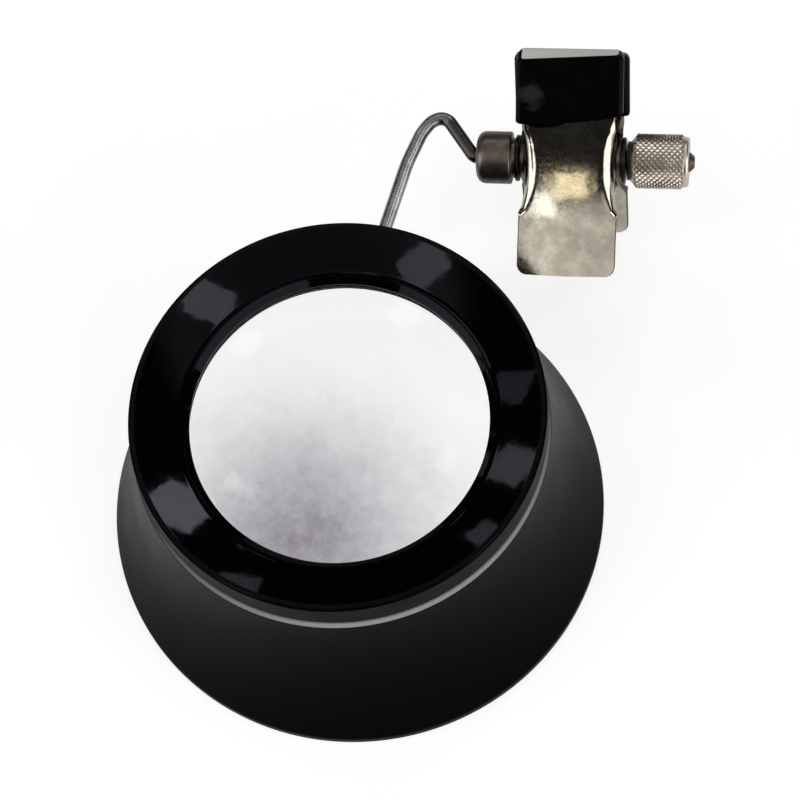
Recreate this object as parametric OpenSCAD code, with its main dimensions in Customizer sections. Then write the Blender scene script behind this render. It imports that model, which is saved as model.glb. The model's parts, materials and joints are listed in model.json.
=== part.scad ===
// Clip-on eye loupe: a flared cup with one lens, a bent wire arm and a sprung spectacle clip.
// The cup stands on its wide rim. +Z is the optical axis, the origin is the centre of the rim's plane,
// and the wire leaves the cup towards +Y.

/* [Cup] */
// Outer diameter of the wide rim
rim_d = 40; // [38:0.5:44]
// Height of the whole cup, from the rim's plane to the crest of the front ring
cup_h = 20.3; // [19.5:0.1:24]
// Height of the straight band above the rim's plane
band_h = 1; // [0.5:0.1:2]
// How far the flank bows in from a straight cone
flank_bow = 0.7; // [0:0.05:0.8]
// Thickness of the moulded wall
wall_t = 1.4; // [1:0.1:2]
// Depth of the rebate in the mouth, where a cap or a ring light pushes in
rebate_depth = 2; // [1:0.1:3]

/* [Front ring] */
// Outer diameter of the front ring
ring_d = 31.4; // [30.4:0.2:34]
// Height of the ring's side above the cup's shoulder
ring_h = 3; // [2.4:0.1:3.6]
// How far the dished face falls from its crest to the lens ring
dish_depth = 1.35; // [1:0.05:1.6]
// Radius of the ring's crest
crest_r = 0.45; // [0.2:0.05:0.6]
// Length of the threaded spigot below the shoulder
spigot_h = 3.1; // [2.9:0.1:4]

/* [Lens] */
// Diameter of the clear opening
view_d = 22.7; // [20:0.1:23]
// Width of the lens's flat land outside the clear opening
land_w = 0.6; // [0.4:0.05:0.8]
// Thickness of the lens at its edge
lens_edge_t = 1.4; // [1:0.1:1.6]
// Radius of both curved faces of the lens
lens_curve_r = 58; // [45:1:90]
// Thickness of the seat gasket
gasket_t = 0.4; // [0.2:0.05:0.5]
// Height of the screwed lens ring
lens_ring_h = 0.8; // [0.6:0.05:1.2]

/* [Lug] */
// Diameter of the moulded lug at the back of the cup
lug_d = 4.2; // [3.6:0.1:5]
// How far the lug's face stands outside the rim, along the lug
lug_out = 0.8; // [0.5:0.1:1.5]
// Height at which the lug's line meets the cup's axis
lug_z = 4.2; // [3.5:0.1:4.8]
// Angle by which the lug points up, square to the flank
lug_tilt = 12; // [8:1:15]
// Depth of the lug's bore
lug_bore_h = 3.5; // [3:0.1:3.8]
// Outer diameter of the lug's metal sleeve
sleeve_d = 2.3; // [2:0.1:2.6]
// Diameter of the set screw
set_screw_d = 1.6; // [1.2:0.1:1.8]

/* [Wire arm] */
// Diameter of the steel wire
wire_d = 1.1; // [0.9:0.05:1.2]
// Distance from the lug's face to the first bend
leg_len = 0.9; // [0.9:0.1:2]
// Heading of the wire after the first bend
leg_angle = 12; // [6:1:14]
// Length from the first bend to the second
rise_len = 6.6; // [5:0.1:8]
// Heading of the wire after the second bend
crown_angle = 23; // [18:1:26]
// Length from the second bend to the hairpin
crown_len = 4.9; // [4.5:0.1:6]
// Heading of the wire after the hairpin
fall_angle = 143; // [135:1:148]
// Length from the hairpin to the bend at the barrel
fall_len = 5.5; // [5:0.1:7.5]
// Radius of the first bend
leg_bend_r = 6; // [4:0.5:7]
// Radius of the second bend
crown_bend_r = 12; // [8:1:14]
// Radius of the hairpin
hairpin_r = 1.1; // [0.9:0.05:1.3]
// Radius of the last bend
end_bend_r = 0.9; // [0.8:0.05:1.1]

/* [Clip shaft] */
// Heading of the shaft from the lug's line, in the wire's plane
shaft_heading = 88; // [84:1:96]
// Angle by which the nut's end of the shaft leaves the wire's plane
shaft_rise = 3; // [0:0.5:8]
// Angle between the jaws and the wire's plane
jaw_lift = 37; // [28:1:38]
// Diameter of the threaded stud
stud_d = 1.6; // [1.4:0.05:1.8]
// Diameter of the barrel
barrel_d = 4.3; // [3.6:0.1:5]
// Length of the barrel
barrel_h = 2.85; // [2.6:0.05:4]
// Thickness of the washers
washer_t = 0.3; // [0.25:0.05:0.4]
// Diameter of the washers
washer_d = 3.8; // [3.4:0.1:4.2]

/* [Clip levers] */
// Width of the front lever's handle
front_w = 8; // [7.5:0.1:8.1]
// Width of the rear lever's handle
rear_w = 8.8; // [8.7:0.1:9.4]
// How far each jaw is narrower than its handle, on each side
jaw_in = 0.2; // [0:0.05:0.3]
// Thickness of the sheet metal
sheet_t = 0.45; // [0.35:0.05:0.5]
// Distance from the shaft to the front jaw's metal end
front_jaw_len = 9; // [8.6:0.1:10]
// Distance from the shaft to the rear jaw's metal end
rear_jaw_len = 8.4; // [8:0.1:9]
// Distance from the shaft to the handles' ends, along the jaws
handle_len = 8.2; // [7:0.1:8.3]
// Angle between a jaw and the mid-plane
jaw_slope = 9; // [8:0.5:11]
// Angle between a handle and the mid-plane
handle_slope = 21; // [18:1:25]
// How far the waist of the front lever is cut in on each side
waist_in = 0.4; // [0.3:0.05:0.5]
// Radius of the ears round the shaft
ear_r = 1.5; // [1.3:0.05:1.6]
// Thickness of the vinyl jaw sleeves
vinyl_t = 0.45; // [0.35:0.05:0.5]
// Length of the vinyl sleeves on their short side
vinyl_len = 5.1; // [4.5:0.1:5.8]
// Angle of the sleeves' lower edges
vinyl_slant = 7; // [0:1:10]

/* [Spring] */
// Diameter of the spring's wire
spring_wire_d = 0.5; // [0.4:0.05:0.5]
// Mean diameter of the coils
spring_d = 2.8; // [2.75:0.01:2.85]
// Pitch of the coils
spring_pitch = 0.95; // [0.92:0.01:0.97]
// Number of full coils
spring_coils = 4; // [2:1:4]
// Length of the straight legs
spring_leg = 5; // [3:0.1:6]

/* [Knurled nut] */
// Diameter over the knurl
nut_d = 4.5; // [4:0.1:5.5]
// Length of the knurled part
knurl_h = 3.9; // [3.5:0.1:6]
// Length of the conical nose
nose_h = 0.4; // [0.3:0.05:0.8]
// Length of the plain collar at the outer end
collar_h = 0.45; // [0.3:0.05:0.8]
// How far the stud stands out of the nut
stud_out = 0.45; // [0.2:0.05:1]

/* [Hidden] */
$fn = 96;

// Fits
running = 0.03;
loose = 0.05;
cut = 0.5;
seam = 0.01;

// Cup
rim_r = rim_d / 2;
ring_r = ring_d / 2;
view_r = view_d / 2;
edge = 0.3;
neck_step = 0.25;
neck_r = ring_r + neck_step;
shoulder_z = cup_h - ring_h;
spigot_wall = 1.2;
spigot_r = ring_r - spigot_wall;
spigot_z = shoulder_z - spigot_h;
thread_r = spigot_r + loose;
neck_z = shoulder_z - spigot_h - edge;
rebate_r = rim_r - wall_t;
flank_top = shoulder_z - edge;
flank_steps = 12;
flank_z = [for (i = [0:flank_steps]) band_h + (flank_top - band_h) * i / flank_steps];
function flank_r(z) =
    let(t = (z - band_h) / (flank_top - band_h))
    rim_r + (neck_r - rim_r) * t - 4 * flank_bow * t * (1 - t);
inner_top = neck_z - edge;
inner_z = [for (i = [0:flank_steps]) inner_top + (rebate_depth - inner_top) * i / flank_steps];

// Lens stack, from the dished face down
dish_z = cup_h - dish_depth;
lens_front = dish_z - lens_ring_h;
lens_back = lens_front - lens_edge_t;
seat_z = lens_back - gasket_t;
seat_r = view_r + land_w;
ledge_t = 0.8;
flare_r = spigot_r - spigot_wall;
lens_r = seat_r - loose;
lens_sag = lens_curve_r - sqrt(pow(lens_curve_r, 2) - pow(view_r, 2));
lens_ring_drop = 0.3;

// Lug
lug_y = rim_r + lug_out;
lug_r = lug_d / 2;
lug_root = lug_bore_h + 1.7;
sleeve_r = sleeve_d / 2;
sleeve_back = lug_y - lug_bore_h;
wire_r = wire_d / 2;
leg_back = sleeve_back + loose;
screw_y = lug_y - lug_bore_h / 2;
screw_r = set_screw_d / 2;
point_r = wire_r * 0.6;
groove_depth = 0.12;
groove_r = wire_r - groove_depth;
groove_w = 2 * point_r + 4 * running;

// Wire route, corner by corner, in the lug's frame: y runs out along the lug
function heading(a) = [sin(a), cos(a), 0];
shaft_dir = [sin(shaft_heading) * cos(shaft_rise), cos(shaft_heading) * cos(shaft_rise), sin(shaft_rise)];
leg_corner = [0, lug_y + leg_len, 0];
crown_corner = leg_corner + rise_len * heading(leg_angle);
hairpin_corner = crown_corner + crown_len * heading(crown_angle);
end_corner = hairpin_corner + fall_len * heading(fall_angle);
end_run = 0.55;
wire_hold = 1.4;
wire_route = [
    [0, leg_back, 0], leg_corner, crown_corner, hairpin_corner, end_corner,
    end_corner + (end_run + wire_hold) * shaft_dir
];
wire_bends = [0, leg_bend_r, crown_bend_r, hairpin_r, end_bend_r, 0];

// Clip, along the shaft: x runs from the barrel to the nut, y along the jaws, z to the front
ear_gap = 0.1;
front_ear = front_w / 2 - waist_in;
rear_ear = front_ear + ear_gap + sheet_t;
bush_half = front_ear - sheet_t - loose;
washer_x = rear_ear + loose;
barrel_neck_h = 0.35;
barrel_x = washer_x + washer_t + barrel_neck_h;
barrel_end = barrel_x + barrel_h;
barrel_r = barrel_d / 2;
stud_r = stud_d / 2;
pivot = end_corner + (end_run + barrel_end) * shaft_dir;
spring_washer_x = washer_x + washer_t + running;
nut_x = spring_washer_x + washer_t + running;
nut_r = nut_d / 2;
nose_r = nut_r - 0.6;
nut_end = nut_x + nose_h + knurl_h + collar_h;
washer_r = washer_d / 2;
bore_r = stud_r + running;

// Levers, side view: [along the jaws, out from the mid-plane]
jaw_gap = 0.16;
knee_y = -0.6;
tip_z = jaw_gap / 2 + vinyl_t + sheet_t / 2;
knee_point = [knee_y, tip_z + (front_jaw_len - knee_y) * tan(jaw_slope)];
handle_point = [-handle_len, knee_point[1] + (handle_len + knee_y) * tan(handle_slope)];
jaw_normal = [sin(jaw_slope), cos(jaw_slope)];
handle_normal = [sin(handle_slope), cos(handle_slope)];
knee_normal = (jaw_normal + handle_normal) / (1 + jaw_normal * handle_normal);
function beside(point, normal, out) = point + out * normal;
function jaw_at(y) = tip_z + (front_jaw_len - y) * tan(jaw_slope);
function handle_at(y) = knee_point[1] + (knee_y - y) * tan(handle_slope);
ear_top = 2.2;
ear_foot = -3.9;
waist_half = (ear_top - ear_foot) / 2;
waist_mid = (ear_top + ear_foot) / 2;
corner_r = 0.8;
lever_len = front_jaw_len + handle_len;

// Spring: coils round the shaft, and legs that lie along the handles' inner faces
spring_r = spring_d / 2;
spring_wire_r = spring_wire_d / 2;
leg_turn = 90 - handle_slope;
coil_sweep = 360 * spring_coils + 2 * leg_turn;
coil_run = spring_pitch * coil_sweep / 360;
coil_rings = 8 * spring_coils + 4;
leg_dir = [0, -cos(handle_slope), sin(handle_slope)];
bush_r = spring_r - spring_wire_r - 0.1;
function coil_out(a) = [0, cos(a), sin(a)];
function coil_point(a, x) = [x, 0, 0] + spring_r * coil_out(a);
coil_points = [
    for (i = [0:coil_rings])
        let(a = leg_turn - coil_sweep * i / coil_rings)
        coil_point(a, coil_run * (0.5 - i / coil_rings))
];
coil_outs = [for (i = [0:coil_rings]) coil_out(leg_turn - coil_sweep * i / coil_rings)];
back_leg_dir = [0, leg_dir[1], -leg_dir[2]];
spring_points = concat(
    [coil_points[0] + spring_leg * leg_dir],
    coil_points,
    [coil_points[coil_rings] + spring_leg * back_leg_dir]
);
spring_outs = concat([coil_outs[0]], coil_outs, [coil_outs[coil_rings]]);
spring_sides = 6;
turn_rings = round(coil_rings * 360 / coil_sweep);
spring_gap = min([
    for (i = [0:coil_rings], j = [0:coil_rings])
        if (j - i > turn_rings / 2) norm(coil_points[i] - coil_points[j]) - spring_wire_d
]);
echo(spring_gap = spring_gap);

// Solid of revolution about Z
module turned(points) rotate_extrude() polygon(points);

// Places a solid of revolution about Z on the x axis, from x to x + its height
module along_x(x) translate([x, 0, 0]) rotate([0, 90, 0]) children();

// Places the lug's own frame, whose y axis stands square on the cup's flank
module on_lug() translate([0, 0, lug_z]) rotate([lug_tilt, 0, 0]) children();

// Places the clip's own frame on the end of the wire
module on_shaft() {
    on_lug()
        translate(pivot)
            rotate([0, 0, 90 - shaft_heading])
                rotate([0, -shaft_rise, 0])
                    rotate([jaw_lift, 0, 0])
                        children();
}

// Round pin of radius r that runs back along the lug from y
module lug_pin(y, r, h) translate([0, y, 0]) rotate([90, 0, 0]) cylinder(r = r, h = h);

// Tube closed at both ends through a list of points, each ring set out along outs and the x axis
module swept_tube(points, outs, r, sides) {
    n = len(points);
    rings = [
        for (i = [0:n - 1], k = [0:sides - 1])
            let(a = 360 * k / sides)
            points[i] + r * (cos(a) * outs[i] + sin(a) * [1, 0, 0])
    ];
    walls = [
        for (i = [0:n - 2], k = [0:sides - 1])
            let(a = i * sides + k, b = i * sides + (k + 1) % sides)
            each [[a, b, b + sides], [a, b + sides, a + sides]]
    ];
    first = [for (k = [1:sides - 2]) [0, k + 1, k]];
    last = [for (k = [1:sides - 2]) (n - 1) * sides * [1, 1, 1] + [0, k, k + 1]];
    polyhedron(rings, concat(walls, first, last));
}

// Round bar between two points
module bar(from, to, r) {
    run = to - from;
    translate(from)
        rotate([0, acos(run[2] / norm(run)), atan2(run[1], run[0])])
            cylinder(r = r, h = norm(run));
}

// Round bar bent at one corner, between its two tangent points
module bend(before, corner, after, bend_r, r) {
    into = (corner - before) / norm(corner - before);
    away = (after - corner) / norm(after - corner);
    turn = acos(into * away);
    side = (away - (into * away) * into) / norm(away - (into * away) * into);
    up = cross(-side, into);
    centre = corner - bend_r * tan(turn / 2) * into + bend_r * side;
    multmatrix([
        [-side[0], into[0], up[0], centre[0]],
        [-side[1], into[1], up[1], centre[1]],
        [-side[2], into[2], up[2], centre[2]],
        [0, 0, 0, 1]
    ])
        rotate_extrude(angle = turn)
            translate([bend_r, 0])
                circle(r = r, $fn = 48);
}

// Distance from a corner to where its bend begins
function tangent_len(route, bends, i) =
    bends[i] == 0 ? 0 :
    let(
        into = (route[i] - route[i - 1]) / norm(route[i] - route[i - 1]),
        away = (route[i + 1] - route[i]) / norm(route[i + 1] - route[i])
    )
    bends[i] * tan(acos(into * away) / 2);

// Wire bent along a route of corners, each bar reaching a hair into the bends beside it
module bent_wire(route, bends, r) {
    for (i = [0:len(route) - 2]) {
        run = (route[i + 1] - route[i]) / norm(route[i + 1] - route[i]);
        from = route[i] + tangent_len(route, bends, i) * run;
        to = route[i + 1] - tangent_len(route, bends, i + 1) * run;
        bar(from - (i > 0 ? seam : 0) * run, to + (i < len(route) - 2 ? seam : 0) * run, r);
    }
    for (i = [1:len(route) - 2])
        bend(route[i - 1], route[i], route[i + 1], bends[i], r - seam);
}

// Flared cup with its neck thread, mouth rebate and the lug for the wire
module cup() {
    shell = concat(
        [[rebate_r, 0], [rim_r - edge, 0], [rim_r, edge]],
        [for (z = flank_z) [flank_r(z), z]],
        [[neck_r - edge, shoulder_z], [thread_r, shoulder_z], [thread_r, neck_z]],
        [for (z = inner_z) [flank_r(z) - wall_t, z]],
        [[rebate_r, rebate_depth]]
    );
    hollow = concat(
        [[0, -cut], [rebate_r, -cut], [rebate_r, rebate_depth]],
        [for (i = [flank_steps:-1:0]) [flank_r(inner_z[i]) - wall_t, inner_z[i]]],
        [[thread_r, neck_z], [0, neck_z]]
    );
    color("#17161a")
        difference() {
            union() {
                turned(shell);
                difference() {
                    on_lug()
                        lug_pin(lug_y, lug_r, lug_root);
                    turned(hollow);
                }
            }
            on_lug() {
                lug_pin(lug_y + cut, sleeve_r, lug_bore_h + cut);
                translate([-lug_r - cut, screw_y, 0])
                    rotate([0, 90, 0])
                        cylinder(r = screw_r, h = lug_r + cut);
            }
        }
}

// Front ring: dished face, rounded crest and the spigot that screws into the cup's neck
module front_ring() {
    crest_steps = 5;
    color("#0c0b0f")
        turned(concat(
            [
                [flare_r, spigot_z], [spigot_r, spigot_z], [spigot_r, shoulder_z], [ring_r, shoulder_z]
            ],
            [
                for (i = [0:crest_steps])
                    let(a = 90 * i / crest_steps)
                    [ring_r - crest_r + crest_r * cos(a), cup_h - crest_r + crest_r * sin(a)]
            ],
            [[seat_r, dish_z], [seat_r, seat_z], [view_r, seat_z], [view_r, seat_z - ledge_t]]
        ));
}

// Biconvex lens with a flat land round both faces
module lens() {
    cap_h = lens_sag + cut;
    color("#dfe6ea", 0.4)
        union() {
            translate([0, 0, lens_back])
                cylinder(r = lens_r, h = lens_edge_t);
            intersection() {
                translate([0, 0, lens_front + lens_sag - lens_curve_r])
                    sphere(r = lens_curve_r, $fn = 240);
                translate([0, 0, lens_front - lens_edge_t / 2])
                    cylinder(r = view_r, h = lens_edge_t / 2 + cap_h);
            }
            intersection() {
                translate([0, 0, lens_back - lens_sag + lens_curve_r])
                    sphere(r = lens_curve_r, $fn = 240);
                translate([0, 0, lens_back - cap_h])
                    cylinder(r = view_r, h = lens_edge_t / 2 + cap_h);
            }
        }
}

// Flat rubber ring under the lens
module lens_gasket() {
    color("#2b2b2e")
        turned([[view_r, seat_z], [lens_r, seat_z], [lens_r, lens_back], [view_r, lens_back]]);
}

// Thin screwed ring that holds the lens down, with two slots for a spanner
module lens_ring() {
    slot_w = 0.8;
    slot_h = 0.4;
    color("#131217")
        difference() {
            turned([
                [view_r, lens_front], [lens_r, lens_front], [lens_r, dish_z],
                [view_r, dish_z - lens_ring_drop]
            ]);
            translate([-seat_r - cut, -slot_w / 2, dish_z - lens_ring_drop - slot_h])
                cube([2 * seat_r + 2 * cut, slot_w, slot_h + cut + lens_ring_drop]);
        }
}

// Metal sleeve in the lug, in which the wire's end turns
module lug_sleeve() {
    color("#b99a54")
        on_lug()
            difference() {
                lug_pin(lug_y, sleeve_r, lug_bore_h);
                lug_pin(lug_y + cut, wire_r + running, lug_bore_h + 2 * cut);
                translate([-sleeve_r - cut, screw_y, 0])
                    rotate([0, 90, 0])
                        cylinder(r = point_r + running, h = sleeve_r + cut);
            }
}

// Slotted set screw: its point keeps the wire's groove in the sleeve
module lug_set_screw() {
    slot_w = 0.3;
    slot_h = 0.35;
    color("#6f6c6a")
        on_lug()
            translate([0, screw_y, 0])
                rotate([0, -90, 0])
                    difference() {
                        union() {
                            translate([0, 0, sleeve_r + running])
                                cylinder(r = screw_r - running, h = lug_r - sleeve_r - running);
                            translate([0, 0, groove_r + loose])
                                cylinder(r = point_r, h = sleeve_r - groove_r);
                        }
                        translate([-screw_r, -slot_w / 2, lug_r - slot_h])
                            cube([2 * screw_r, slot_w, slot_h + cut]);
                    }
}

// Steel wire: leg in the lug, two slow bends, hairpin and the end held in the barrel
module wire_arm() {
    color("#b9b8ba")
        on_lug()
            difference() {
                bent_wire(wire_route, wire_bends, wire_r);
                difference() {
                    lug_pin(screw_y + groove_w / 2, wire_r + cut, groove_w);
                    lug_pin(screw_y + groove_w, groove_r, 2 * groove_w);
                }
            }
}

// Barrel that joins the wire to the stud, with a rounded end and a neck beside the clip
module barrel() {
    round_r = 0.7;
    round_steps = 5;
    nose_r = barrel_r - 0.5;
    nose_end = barrel_h + barrel_neck_h;
    color("#4a4440")
        on_shaft()
            along_x(-barrel_end)
                turned(concat(
                    [[wire_r, 0]],
                    [
                        for (i = [0:round_steps])
                            let(a = 90 * i / round_steps)
                            [barrel_r - round_r + round_r * sin(a), round_r - round_r * cos(a)]
                    ],
                    [
                        [barrel_r, barrel_h], [nose_r, barrel_h], [nose_r, nose_end],
                        [stud_r, nose_end], [stud_r, wire_hold], [wire_r, wire_hold]
                    ]
                ));
}

// Threaded stud that carries both levers, with a chamfered outer end
module stud() {
    chamfer = 0.35;
    length = barrel_end - wire_hold + nut_end + stud_out;
    color("#3b3836")
        on_shaft()
            along_x(-barrel_end + wire_hold)
                turned([
                    [0, 0], [stud_r, 0], [stud_r, length - chamfer],
                    [stud_r - chamfer, length], [0, length]
                ]);
}

// Plain washer on the stud, from x outwards
module washer(x) {
    on_shaft()
        along_x(x)
            turned([
                [bore_r, 0], [washer_r, 0], [washer_r, washer_t], [bore_r, washer_t]
            ]);
}

// Washer between the barrel's neck and the clip
module barrel_washer() {
    color("#c9c6c1") washer(-washer_x - washer_t);
}

// Washer between the clip and the spring washer
module nut_washer() {
    color("#c9c6c1") washer(washer_x);
}

// Dished spring washer that keeps the nut's grip even
module spring_washer() {
    dish = 0.12;
    color("#57514c")
        on_shaft()
            along_x(spring_washer_x)
                turned([
                    [bore_r, 0], [washer_r - 0.3, dish], [washer_r - 0.3, washer_t], [bore_r, washer_t - dish]
                ]);
}

// Thumb nut: conical nose, knurled body and plain collar
module knurled_nut() {
    bevel = 0.2;
    body_x = nose_h;
    body_end = nose_h + knurl_h;
    collar_r = nut_r - bevel;
    color("#a89f97")
        on_shaft()
            along_x(nut_x)
                turned([
                    [bore_r, 0], [nose_r, 0], [nut_r - bevel, body_x], [nut_r, body_x + bevel],
                    [nut_r, body_end - bevel], [collar_r, body_end], [collar_r, body_end + collar_h - bevel],
                    [collar_r - bevel, body_end + collar_h], [bore_r, body_end + collar_h]
                ]);
}

// Side view of a lever's strip between out_a and out_b from its middle line
module strip_side(out_a, out_b, jaw_end, handle_end) {
    jaw_tip = [jaw_end, jaw_at(jaw_end)];
    handle_tip = [-handle_end, handle_at(-handle_end)];
    polygon([
        beside(jaw_tip, jaw_normal, out_a), beside(knee_point, knee_normal, out_a),
        beside(handle_tip, handle_normal, out_a), beside(handle_tip, handle_normal, out_b),
        beside(knee_point, knee_normal, out_b), beside(jaw_tip, jaw_normal, out_b)
    ]);
}

// Turns a side view [y, z] into a plate across x, from x_low to x_high
module across(x_low, x_high) {
    translate([x_low, 0, 0])
        rotate([90, 0, 90])
            linear_extrude(height = x_high - x_low)
                children();
}

// Side view of an ear: from the strip down and round the shaft
module ear_side() {
    top = [ear_top, jaw_at(ear_top)];
    foot = [ear_foot, handle_at(ear_foot)];
    top_a = atan2(top[1], top[0]) - acos(ear_r / norm(top));
    foot_a = atan2(foot[1], foot[0]) + acos(ear_r / norm(foot));
    difference() {
        union() {
            circle(r = ear_r);
            polygon([
                top, knee_point, foot,
                ear_r * [cos(foot_a), sin(foot_a)], [0, 0], ear_r * [cos(top_a), sin(top_a)]
            ]);
        }
        circle(r = bore_r);
    }
}

// Front view of a lever: handle with rounded corners, a narrower jaw and a waist on both sides
module lever_front(half, ear_x) {
    waist_in = half - ear_x;
    waist_r = (pow(waist_half, 2) + pow(waist_in, 2)) / (2 * waist_in);
    difference() {
        union() {
            translate([-half, corner_r - handle_len])
                square([2 * half, waist_mid + handle_len - corner_r]);
            translate([corner_r - half, -handle_len])
                square([2 * (half - corner_r), handle_len]);
            for (side = [-1, 1])
                translate([side * (half - corner_r), corner_r - handle_len])
                    circle(r = corner_r);
            translate([jaw_in - half, waist_mid])
                square([2 * (half - jaw_in), lever_len]);
        }
        for (side = [-1, 1])
            translate([side * (ear_x + waist_r), waist_mid])
                circle(r = waist_r);
    }
}

// Sheet metal lever of half width half, with its ears' outer faces at ear_x
module lever(half, ear_x, jaw_len) {
    intersection() {
        union() {
            across(-half, half)
                strip_side(-sheet_t / 2, sheet_t / 2, jaw_len, handle_len + sheet_t);
            for (x = [-ear_x, ear_x - sheet_t])
                across(x, x + sheet_t)
                    ear_side();
        }
        translate([0, 0, -ear_r - cut])
            linear_extrude(height = lever_len)
                lever_front(half, ear_x);
    }
}

// Front lever: its ears lie inside the rear lever's
module front_lever() {
    color("#b9b2a2")
        on_shaft()
            lever(front_w / 2, front_ear, front_jaw_len);
}

// Rear lever: its ears lie outside
module rear_lever() {
    color("#b9b2a2")
        on_shaft()
            mirror([0, 0, 1])
                lever(rear_w / 2, rear_ear, rear_jaw_len);
}

// Vinyl sleeve over a jaw of half width half, closed at the tip, with a slanting lower edge
module jaw_sleeve(half, jaw_len) {
    outer_half = half + vinyl_t;
    outer_r = 1;
    sleeve_end = jaw_len + vinyl_t;
    foot_right = sleeve_end - vinyl_len;
    foot_left = foot_right - 2 * outer_half * tan(vinyl_slant);
    difference() {
        intersection() {
            across(-outer_half, outer_half)
                strip_side(-sheet_t / 2 - vinyl_t, sheet_t / 2 + vinyl_t, sleeve_end, 0);
            linear_extrude(height = lever_len)
                union() {
                    polygon([
                        [-outer_half, foot_left], [outer_half, foot_right],
                        [outer_half, sleeve_end - outer_r], [-outer_half, sleeve_end - outer_r]
                    ]);
                    translate([outer_r - outer_half, foot_right])
                        square([2 * (outer_half - outer_r), vinyl_len]);
                    for (side = [-1, 1])
                        translate([side * (outer_half - outer_r), sleeve_end - outer_r])
                            circle(r = outer_r);
                }
        }
        across(-half, half)
            strip_side(-sheet_t / 2, sheet_t / 2, jaw_len, 0);
    }
}

// Vinyl sleeve on the front jaw
module front_jaw_sleeve() {
    color("#0a0a0c")
        on_shaft()
            jaw_sleeve(front_w / 2 - jaw_in, front_jaw_len);
}

// Vinyl sleeve on the rear jaw
module rear_jaw_sleeve() {
    color("#0a0a0c")
        on_shaft()
            mirror([0, 0, 1])
                jaw_sleeve(rear_w / 2 - jaw_in, rear_jaw_len);
}

// Spacer tube on the stud between the ears, which carries the spring
module spring_bush() {
    color("#8c8a88")
        on_shaft()
            along_x(-bush_half)
                turned([
                    [bore_r, 0], [bush_r, 0], [bush_r, 2 * bush_half], [bore_r, 2 * bush_half]
                ]);
}

// Torsion spring that pushes the handles apart and shuts the jaws
module torsion_spring() {
    color("#9b9994")
        on_shaft()
            swept_tube(spring_points, spring_outs, spring_wire_r, spring_sides);
}

cup();
front_ring();
lens();
lens_gasket();
lens_ring();
lug_sleeve();
lug_set_screw();
wire_arm();
barrel();
stud();
barrel_washer();
front_lever();
front_jaw_sleeve();
spring_bush();
torsion_spring();
rear_lever();
rear_jaw_sleeve();
nut_washer();
spring_washer();
knurled_nut();
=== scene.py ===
# A clip-on eye loupe: a flared cup with one lens, a bent steel wire and a small sprung clip.
# The sections follow the object as it is put together, after the camera that looks at it.
import json
from math import acos, atan, atan2, cos, hypot, pi, radians, sin, sqrt, tan

import bmesh
import bpy
from mathutils import Matrix, Vector


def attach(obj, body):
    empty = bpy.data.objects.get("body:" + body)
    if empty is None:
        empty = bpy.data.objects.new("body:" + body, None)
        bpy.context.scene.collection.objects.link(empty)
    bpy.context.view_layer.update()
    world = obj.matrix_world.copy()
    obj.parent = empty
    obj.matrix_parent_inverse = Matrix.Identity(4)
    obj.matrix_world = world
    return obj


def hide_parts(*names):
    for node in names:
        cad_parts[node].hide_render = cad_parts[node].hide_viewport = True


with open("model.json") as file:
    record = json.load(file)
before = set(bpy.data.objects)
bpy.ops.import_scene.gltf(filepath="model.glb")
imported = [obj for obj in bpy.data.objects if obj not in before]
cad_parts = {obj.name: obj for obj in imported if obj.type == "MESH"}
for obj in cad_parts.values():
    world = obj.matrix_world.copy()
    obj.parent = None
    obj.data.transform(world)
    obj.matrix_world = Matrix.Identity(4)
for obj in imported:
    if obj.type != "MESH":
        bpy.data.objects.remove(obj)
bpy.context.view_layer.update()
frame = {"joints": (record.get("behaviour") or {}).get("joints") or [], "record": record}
MM = 0.001

# ---- Camera ----
# It stands above and in front of the loupe, a little to the right, with a long lens. Its place and
# turn were fitted to the ellipses of the wide rim and of the front ring.
camera_right = Vector((0.9901, 0.1215, -0.0697))
camera_up = Vector((-0.0850, 0.9166, 0.3907))
camera_back = Vector((0.1114, -0.3809, 0.9179))
camera_data = bpy.data.cameras.new("camera")
camera_data.lens = 108
camera_data.sensor_width = 36
camera_data.clip_start = 0.01
camera = bpy.data.objects.new("camera", camera_data)
camera_turn = Matrix((camera_right, camera_up, camera_back)).transposed().to_4x4()
camera.matrix_world = Matrix.Translation(Vector((24.52, -66.80, 184.26)) * MM) @ camera_turn
bpy.context.scene.collection.objects.link(camera)
bpy.context.scene.camera = camera


# ---- Cup ----
# The flared eyepiece, injection-moulded in black ABS with a fine satin skin. It stands on its wide
# rim, takes the front ring's thread in its neck, and carries the lug for the wire at its back.
def linear(hex_colour):
    """An sRGB hex colour as linear red, green, blue and alpha."""
    parts = [int(hex_colour[i:i + 2], 16) / 255 for i in (1, 3, 5)]
    return [p / 12.92 if p <= 0.04045 else ((p + 0.055) / 1.055) ** 2.4 for p in parts] + [1]


def add_node(tree, kind, links=None, **settings):
    """A new shader node: settings name its properties, and links its sockets, by a value, another
    node's socket, or another node, whose first live output is meant."""
    node = tree.nodes.new("ShaderNode" + kind)
    for name, value in settings.items():
        setattr(node, name, value)
    for name, value in (links or {}).items():
        if isinstance(value, bpy.types.Node):
            value = next(output for output in value.outputs if output.enabled)
        if isinstance(value, bpy.types.NodeSocket):
            tree.links.new(value, node.inputs[name])
        else:
            node.inputs[name].default_value = value
    return node


def new_material(name):
    """An empty node material and its tree."""
    material = bpy.data.materials.new(name)
    material.use_nodes = True
    material.node_tree.nodes.clear()
    return material, material.node_tree


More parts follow.
